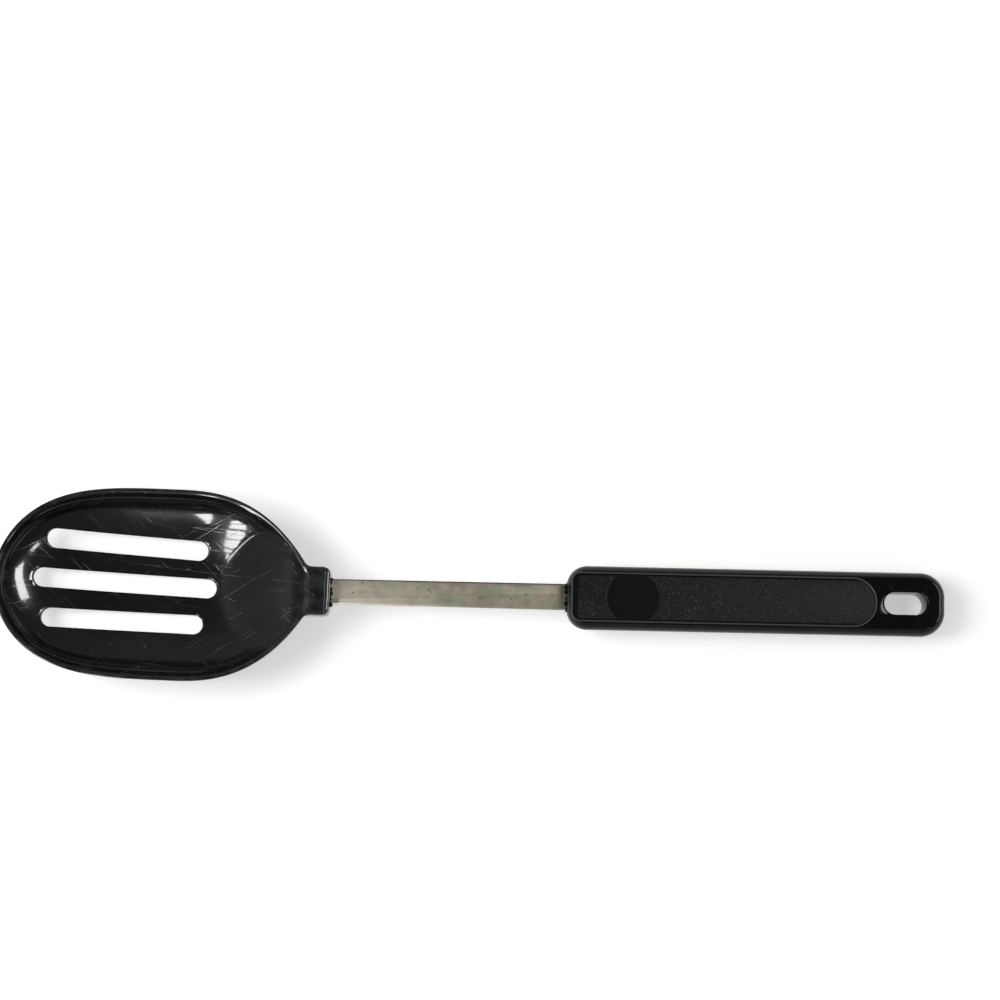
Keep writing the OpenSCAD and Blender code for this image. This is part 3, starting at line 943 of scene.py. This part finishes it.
def moulded_handle_plastic():
    """Polypropylene from a polished mould: near black and glossy, with hairlines and dust from handling, and
    painted highlights on the crests of its beads.
    """
    material, tree, shader, place = new_material("moulded_gloss_polypropylene")
    hairs = scratches(tree, place, 0.05, 16, 2.4, 0.014, 4.1)
    more = scratches(tree, place, 1.1, 8, 2.0, 0.014, 5.3)
    hairs = add_node(tree, "ShaderNodeMath", {0: hairs, 1: more}, operation="MAXIMUM")
    dust = add_node(tree, "ShaderNodeTexVoronoi", {"Vector": place, "Scale": per_mm(3.4), "Randomness": 1.0})
    dust = add_node(tree, "ShaderNodeMapRange", {
        "Value": dust, "From Min": 0.03, "From Max": 0.06, "To Min": 0.35, "To Max": 0.0})
    dust = add_node(tree, "ShaderNodeMath", {0: hairs, 1: 0.22, 2: dust}, operation="MULTIPLY_ADD")
    worn = add_node(tree, "ShaderNodeTexNoise", {"Vector": place, "Scale": per_mm(20), "Detail": 2.0})
    # painted highlight: the beads stand proud of both faces, and their crests are painted grey for the thin
    # light line that they catch
    up = STRIP_PLACING.to_3x3() @ Vector((0, 0, 1))
    height = add_node(tree, "ShaderNodeVectorMath", {0: place, 1: up}, operation="DOT_PRODUCT")
    height = add_node(tree, "ShaderNodeMath", {
        0: height, 1: up.dot(STRIP_PLACING.translation)}, operation="SUBTRACT")
    height = add_node(tree, "ShaderNodeMath", {0: height}, operation="ABSOLUTE")
    wear_and_highlight = add_node(tree, "ShaderNodeMapRange", {
        "Value": height, "From Min": HANDLE_THICKNESS / 2 + BEAD_HEIGHT * 0.3,
        "From Max": HANDLE_THICKNESS / 2 + BEAD_HEIGHT, "To Max": 0.9})
    colour = srgb(HANDLE_BLACK)
    for share, tone in ((worn, HANDLE_WORN), (dust, HANDLE_DUST), (wear_and_highlight, HANDLE_BEAD_HIGHLIGHT)):
        colour = add_node(tree, "ShaderNodeMix", {
            "Factor": share, "A": colour, "B": srgb(tone)}, data_type="RGBA")
    dull = 0.08
    for share, gain in ((worn, 0.08), (hairs, 0.2), (wear_and_highlight, 0.25)):
        dull = add_node(tree, "ShaderNodeMath", {0: share, 1: gain, 2: dull}, operation="MULTIPLY_ADD")
    wave = add_node(tree, "ShaderNodeTexNoise", {"Vector": place, "Scale": per_mm(6), "Detail": 1.0})
    bump = add_node(tree, "ShaderNodeBump", {"Strength": 1.0, "Distance": 0.00001, "Height": wave})
    connect(tree, shader, {
        "Base Color": colour, "Roughness": dull, "IOR": 1.49, "Specular IOR Level": 0.05, "Normal": bump})
    return material


def pebbled_grip(name, has_disc):
    """Plastic from an etched mould: fine pebbles, with painted highlights on the tallest, inside a smooth
    dark border.
    """
    material, tree, shader, place = new_material(name)
    spot = add_node(tree, "ShaderNodeMapping", {
        "Vector": place, "Location": (FIELD_START, FIELD_MIDDLE, 0)}, vector_type="TEXTURE")
    at = add_node(tree, "ShaderNodeSeparateXYZ", {0: spot})
    # the pebbled field starts a little behind the bead and stops just short of it at the sides
    field = add_node(tree, "ShaderNodeMapRange", {
        "Value": at.outputs["X"], "From Min": -FIELD_FADE / 2, "From Max": FIELD_FADE})
    side = add_node(tree, "ShaderNodeMath", {0: at.outputs["Y"]}, operation="ABSOLUTE")
    side = add_node(tree, "ShaderNodeMapRange", {
        "Value": side, "From Min": FIELD_HALF, "From Max": FIELD_HALF + FIELD_FADE,
        "To Min": 1.0, "To Max": 0.0})
    field = add_node(tree, "ShaderNodeMath", {0: field, 1: side}, operation="MULTIPLY")
    if has_disc:
        middle_of_disc = (DISC_SET - PANEL_SET - FIELD_SET, 0, 0)
        flat = add_node(tree, "ShaderNodeVectorMath", {0: spot, 1: (1, 1, 0)}, operation="MULTIPLY")
        reach = add_node(tree, "ShaderNodeVectorMath", {0: flat, 1: middle_of_disc}, operation="DISTANCE")
        outside = add_node(tree, "ShaderNodeMapRange", {
            "Value": reach, "From Min": DISC_DIAMETER / 2, "From Max": DISC_DIAMETER / 2 + FIELD_FADE})
        field = add_node(tree, "ShaderNodeMath", {0: field, 1: outside}, operation="MULTIPLY")
    # ragged clusters of pebbles of uneven height: the real ones, of about 0.4 mm, are too fine to hold
    # in the render, so they are drawn at about 0.6 mm
    pebbles = add_node(tree, "ShaderNodeTexVoronoi", {
        "Vector": place, "Scale": per_mm(0.62), "Randomness": 1.0})
    pebble = add_node(tree, "ShaderNodeMapRange", {
        "Value": pebbles, "From Min": 0.1, "From Max": 0.7, "To Min": 1.0, "To Max": 0.2})
    each = add_node(tree, "ShaderNodeSeparateColor", {0: pebbles.outputs["Color"]})
    grit = add_node(tree, "ShaderNodeTexNoise", {
        "Vector": place, "Scale": per_mm(0.9), "Detail": 3.0, "Roughness": 0.7})
    tall = add_node(tree, "ShaderNodeMath", {0: each, 1: pebble}, operation="MULTIPLY")
    tall = add_node(tree, "ShaderNodeMath", {0: tall, 1: grit}, operation="MULTIPLY")
    worn = add_node(tree, "ShaderNodeTexNoise", {"Vector": place, "Scale": per_mm(9), "Detail": 3.0})
    worn = add_node(tree, "ShaderNodeMapRange", {
        "Value": worn, "From Min": 0.35, "From Max": 0.65, "To Min": 0.55, "To Max": 1.0})
    # painted highlight: the tallest pebbles are painted pale, for the light that they catch
    lit = add_node(tree, "ShaderNodeMapRange", {"Value": tall, "From Min": 0.14, "From Max": 0.46})
    for share in (worn, field):
        lit = add_node(tree, "ShaderNodeMath", {0: lit, 1: share}, operation="MULTIPLY")
    colour = srgb(GRIP_BORDER)
    for share, tone in ((field, GRIP_FIELD), (lit, GRIP_PEBBLE_HIGHLIGHT)):
        colour = add_node(tree, "ShaderNodeMix", {
            "Factor": share, "A": colour, "B": srgb(tone)}, data_type="RGBA")
    dull = add_node(tree, "ShaderNodeMapRange", {"Value": field, "To Min": 0.34, "To Max": 0.55})
    relief = add_node(tree, "ShaderNodeMath", {0: tall, 1: 1.6, 2: grit}, operation="MULTIPLY_ADD")
    relief = add_node(tree, "ShaderNodeMath", {0: relief, 1: field}, operation="MULTIPLY")
    bump = add_node(tree, "ShaderNodeBump", {"Strength": 1.0, "Distance": 0.0001, "Height": relief})
    connect(tree, shader, {
        "Base Color": colour, "Roughness": dull, "IOR": 1.49, "Specular IOR Level": 0.05, "Normal": bump})
    return material


def give(piece, material):
    piece.data.materials.clear()
    piece.data.materials.append(material)


# The object

bowl = make_bowl()
strip = make_strip()
handle = make_handle()
panel_front = make_panel("grip_panel_top", 1)
combine(panel_front, "DIFFERENCE", disc_cutter())
panel_back = make_panel("grip_panel_under", -1)
for panel in (panel_front, panel_back):
    put(panel, STRIP_PLACING)
    smooth(panel)

give(bowl, moulded_nylon())
give(strip, rolled_stainless())
give(handle, moulded_handle_plastic())
give(panel_front, pebbled_grip("pebbled_grip_with_disc", True))
give(panel_back, pebbled_grip("pebbled_grip", False))

for piece, node, slot in (
    (bowl, "slotted_bowl", "bowl_nylon"),
    (strip, "shank_strip", "strip_steel"),
    (handle, "handle_body", "handle_plastic"),
    (panel_front, "grip_panel_front", "grip_plastic"),
    (panel_back, "grip_panel_back", "grip_plastic"),
):
    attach(piece, BODY)
    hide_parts(node)


# Floor, lamps and camera

WHITE = (1, 1, 1, 1)
TABLE_WHITE = (0.8, 0.8, 0.8, 1)
TABLE_GLOW = 0.48
TABLE_SIZE = 4
TABLE_SINK = 0.00005
ROOM_LEVEL = 0.5
ROOM_OVERHEAD = 0.19
ROOM_BY_BOWL, ROOM_BY_HANDLE = 1.3, 0.7
ROOM_COOL, ROOM_WARM = "#eef6ff", "#fff8f0"
CAMERA_LENS = 102.7
CAMERA_PLACE = (0.0102, -0.0788, 1.0)
CAMERA_TURN = (6.41, -0.08, 1.09)


def make_floor():
    """A white table. The camera and the reflections see it lit up to a plain white, with its shadow."""
    deselect_all()
    bpy.ops.mesh.primitive_plane_add(size=TABLE_SIZE, location=(0, 0, -TABLE_SINK))
    floor = bpy.context.object
    floor.name = "floor"
    material = bpy.data.materials.new("white_table")
    tree = bare_tree(material)
    path = add_node(tree, "ShaderNodeLightPath").outputs
    seen = add_node(tree, "ShaderNodeMath", {
        0: path["Is Camera Ray"], 1: path["Is Glossy Ray"]}, operation="MAXIMUM")
    seen = add_node(tree, "ShaderNodeMath", {0: seen, 1: path["Is Transmission Ray"]}, operation="MAXIMUM")
    strength = add_node(tree, "ShaderNodeMath", {0: seen, 1: TABLE_GLOW}, operation="MULTIPLY")
    glow = add_node(tree, "ShaderNodeEmission", {"Color": WHITE, "Strength": strength})
    paint = add_node(tree, "ShaderNodeBsdfDiffuse", {"Color": TABLE_WHITE})
    both = add_node(tree, "ShaderNodeAddShader", {0: paint, 1: glow})
    add_node(tree, "ShaderNodeOutputMaterial", {"Surface": both})
    floor.data.materials.append(material)


def area_lamp(name, place, target, size, power, turn=0.0):
    light = bpy.data.lights.new(name, "AREA")
    light.shape = "RECTANGLE"
    light.size, light.size_y = size
    light.energy = power
    lamp = bpy.data.objects.new(name, light)
    bpy.context.scene.collection.objects.link(lamp)
    lamp.location = place
    facing = (Vector(target) - Vector(place)).to_track_quat("-Z", "Y").to_matrix()
    lamp.rotation_euler = (facing @ Matrix.Rotation(turn, 3, "Z")).to_euler()
    return lamp


def toward(azimuth, elevation):
    flat = math.cos(math.radians(elevation))
    return Vector((flat * math.cos(math.radians(azimuth)), flat * math.sin(math.radians(azimuth)),
                   math.sin(math.radians(elevation))))


def glint(name, azimuth, elevation, size, radiance, turn=0.0):
    """A small lamp that shows in the gloss alone, at one metre in the given direction."""
    place = toward(azimuth, elevation)
    lamp = area_lamp(name, place, (0, 0, 0), size, radiance * math.pi * size[0] * size[1], math.radians(turn))
    lamp.visible_diffuse = False


def window(azimuth, elevation, distance, panes, radiance):
    """The panes of a window, which show in the gloss alone. Each is four corners, across and up."""
    way = toward(azimuth, elevation)
    across = Vector((0, 0, 1)).cross(way).normalized()
    up = way.cross(across)
    deselect_all()
    bpy.ops.mesh.primitive_plane_add(size=1)
    glass = bpy.context.object
    glass.name = "window_panes"
    bpy.ops.object.mode_set(mode="EDIT")
    for _ in panes[1:]:
        bpy.ops.mesh.primitive_plane_add(size=1)
    mesh = bmesh.from_edit_mesh(glass.data)
    for face, corners in zip(mesh.faces, panes):
        for vertex, (u, v) in zip(face.verts, corners):
            vertex.co = way * distance + across * u + up * v
    bmesh.update_edit_mesh(glass.data)
    bpy.ops.object.mode_set(mode="OBJECT")
    material = bpy.data.materials.new("window_light")
    tree = bare_tree(material)
    glow = add_node(tree, "ShaderNodeEmission", {"Color": WHITE, "Strength": radiance})
    add_node(tree, "ShaderNodeOutputMaterial", {"Surface": glow})
    give(glass, material)
    glass.visible_diffuse = False
    glass.visible_camera = False
    glass.visible_shadow = False


def make_world():
    """An even grey room, dimmer overhead, where the camera is held, and cooler towards the window."""
    world = bpy.data.worlds.new("studio")
    tree = bare_tree(world)
    way = add_node(tree, "ShaderNodeTexCoord").outputs["Generated"]
    way = add_node(tree, "ShaderNodeSeparateXYZ", {0: way}).outputs
    level = add_node(tree, "ShaderNodeMapRange", {
        "Value": way["Z"], "From Min": 0.7, "From Max": 0.985,
        "To Min": ROOM_LEVEL, "To Max": ROOM_OVERHEAD}, interpolation_type="SMOOTHSTEP")
    side = add_node(tree, "ShaderNodeMapRange", {
        "Value": way["X"], "From Min": -0.8, "From Max": 0.8,
        "To Min": ROOM_BY_BOWL, "To Max": ROOM_BY_HANDLE})
    level = add_node(tree, "ShaderNodeMath", {0: level, 1: side}, operation="MULTIPLY")
    tint = add_node(tree, "ShaderNodeMapRange", {"Value": way["Y"], "From Min": -0.7, "From Max": 0.5})
    tint = add_node(tree, "ShaderNodeMix", {
        "Factor": tint, "A": srgb(ROOM_COOL), "B": srgb(ROOM_WARM)}, data_type="RGBA")
    # behind the table's edge the camera sees plain white
    seen = add_node(tree, "ShaderNodeLightPath").outputs["Is Camera Ray"]
    level = add_node(tree, "ShaderNodeMix", {"Factor": seen, "A": level, "B": 1.0}, data_type="FLOAT")
    tint = add_node(tree, "ShaderNodeMix", {"Factor": seen, "A": tint, "B": WHITE}, data_type="RGBA")
    sky = add_node(tree, "ShaderNodeBackground", {"Color": tint, "Strength": level})
    add_node(tree, "ShaderNodeOutputWorld", {"Surface": sky})
    bpy.context.scene.world = world


def make_camera():
    camera = bpy.data.cameras.new("camera")
    camera.lens = CAMERA_LENS
    camera.clip_start = 0.01
    holder = bpy.data.objects.new("camera", camera)
    bpy.context.scene.collection.objects.link(holder)
    holder.location = CAMERA_PLACE
    holder.rotation_euler = [math.radians(turn) for turn in CAMERA_TURN]
    bpy.context.scene.camera = holder


make_floor()
make_world()
soft_box = area_lamp("soft_box", (-0.95, 0.1, 0.95), (-0.03, 0, 0), (0.7, 0.7), 12)
soft_box.visible_glossy = False
# six panes stand in a bent column, as the curved bowl mirrors them, and three in a narrow one beside it
window(-128, 35, 1.2, (
    ((0.08, -0.42), (-0.06, -0.98), (-0.09, -0.70), (0.05, -0.25)),
    ((0.04, -0.20), (-0.09, -0.62), (-0.13, -0.33), (0.01, -0.06)),
    ((0.00, 0.03), (-0.14, -0.24), (-0.22, 0.03), (-0.08, 0.25)),
    ((-0.09, 0.29), (-0.20, 0.09), (-0.37, 0.32), (-0.15, 0.47)),
    ((-0.17, 0.49), (-0.31, 0.42), (-0.36, 0.51), (-0.21, 0.59)),
    ((-0.23, 0.60), (-0.39, 0.56), (-0.45, 0.67), (-0.35, 0.70)),
    ((0.48, -0.31), (0.35, -0.48), (0.28, -0.26), (0.38, -0.15)),
    ((0.37, -0.16), (0.27, -0.28), (0.25, -0.12), (0.31, -0.05)),
    ((0.29, -0.06), (0.25, -0.14), (0.21, -0.02), (0.24, 0.05)),
), 50)
glint("tip_crescent", 6, 46, (0.64, 0.27), 44, 15)
glint("tip_sparkle", -41, 47, (0.13, 0.1), 40)
glint("crease_line", -171, 36, (0.1, 0.72), 34)
make_camera()

scene = bpy.context.scene
scene.view_settings.view_transform = "Standard"
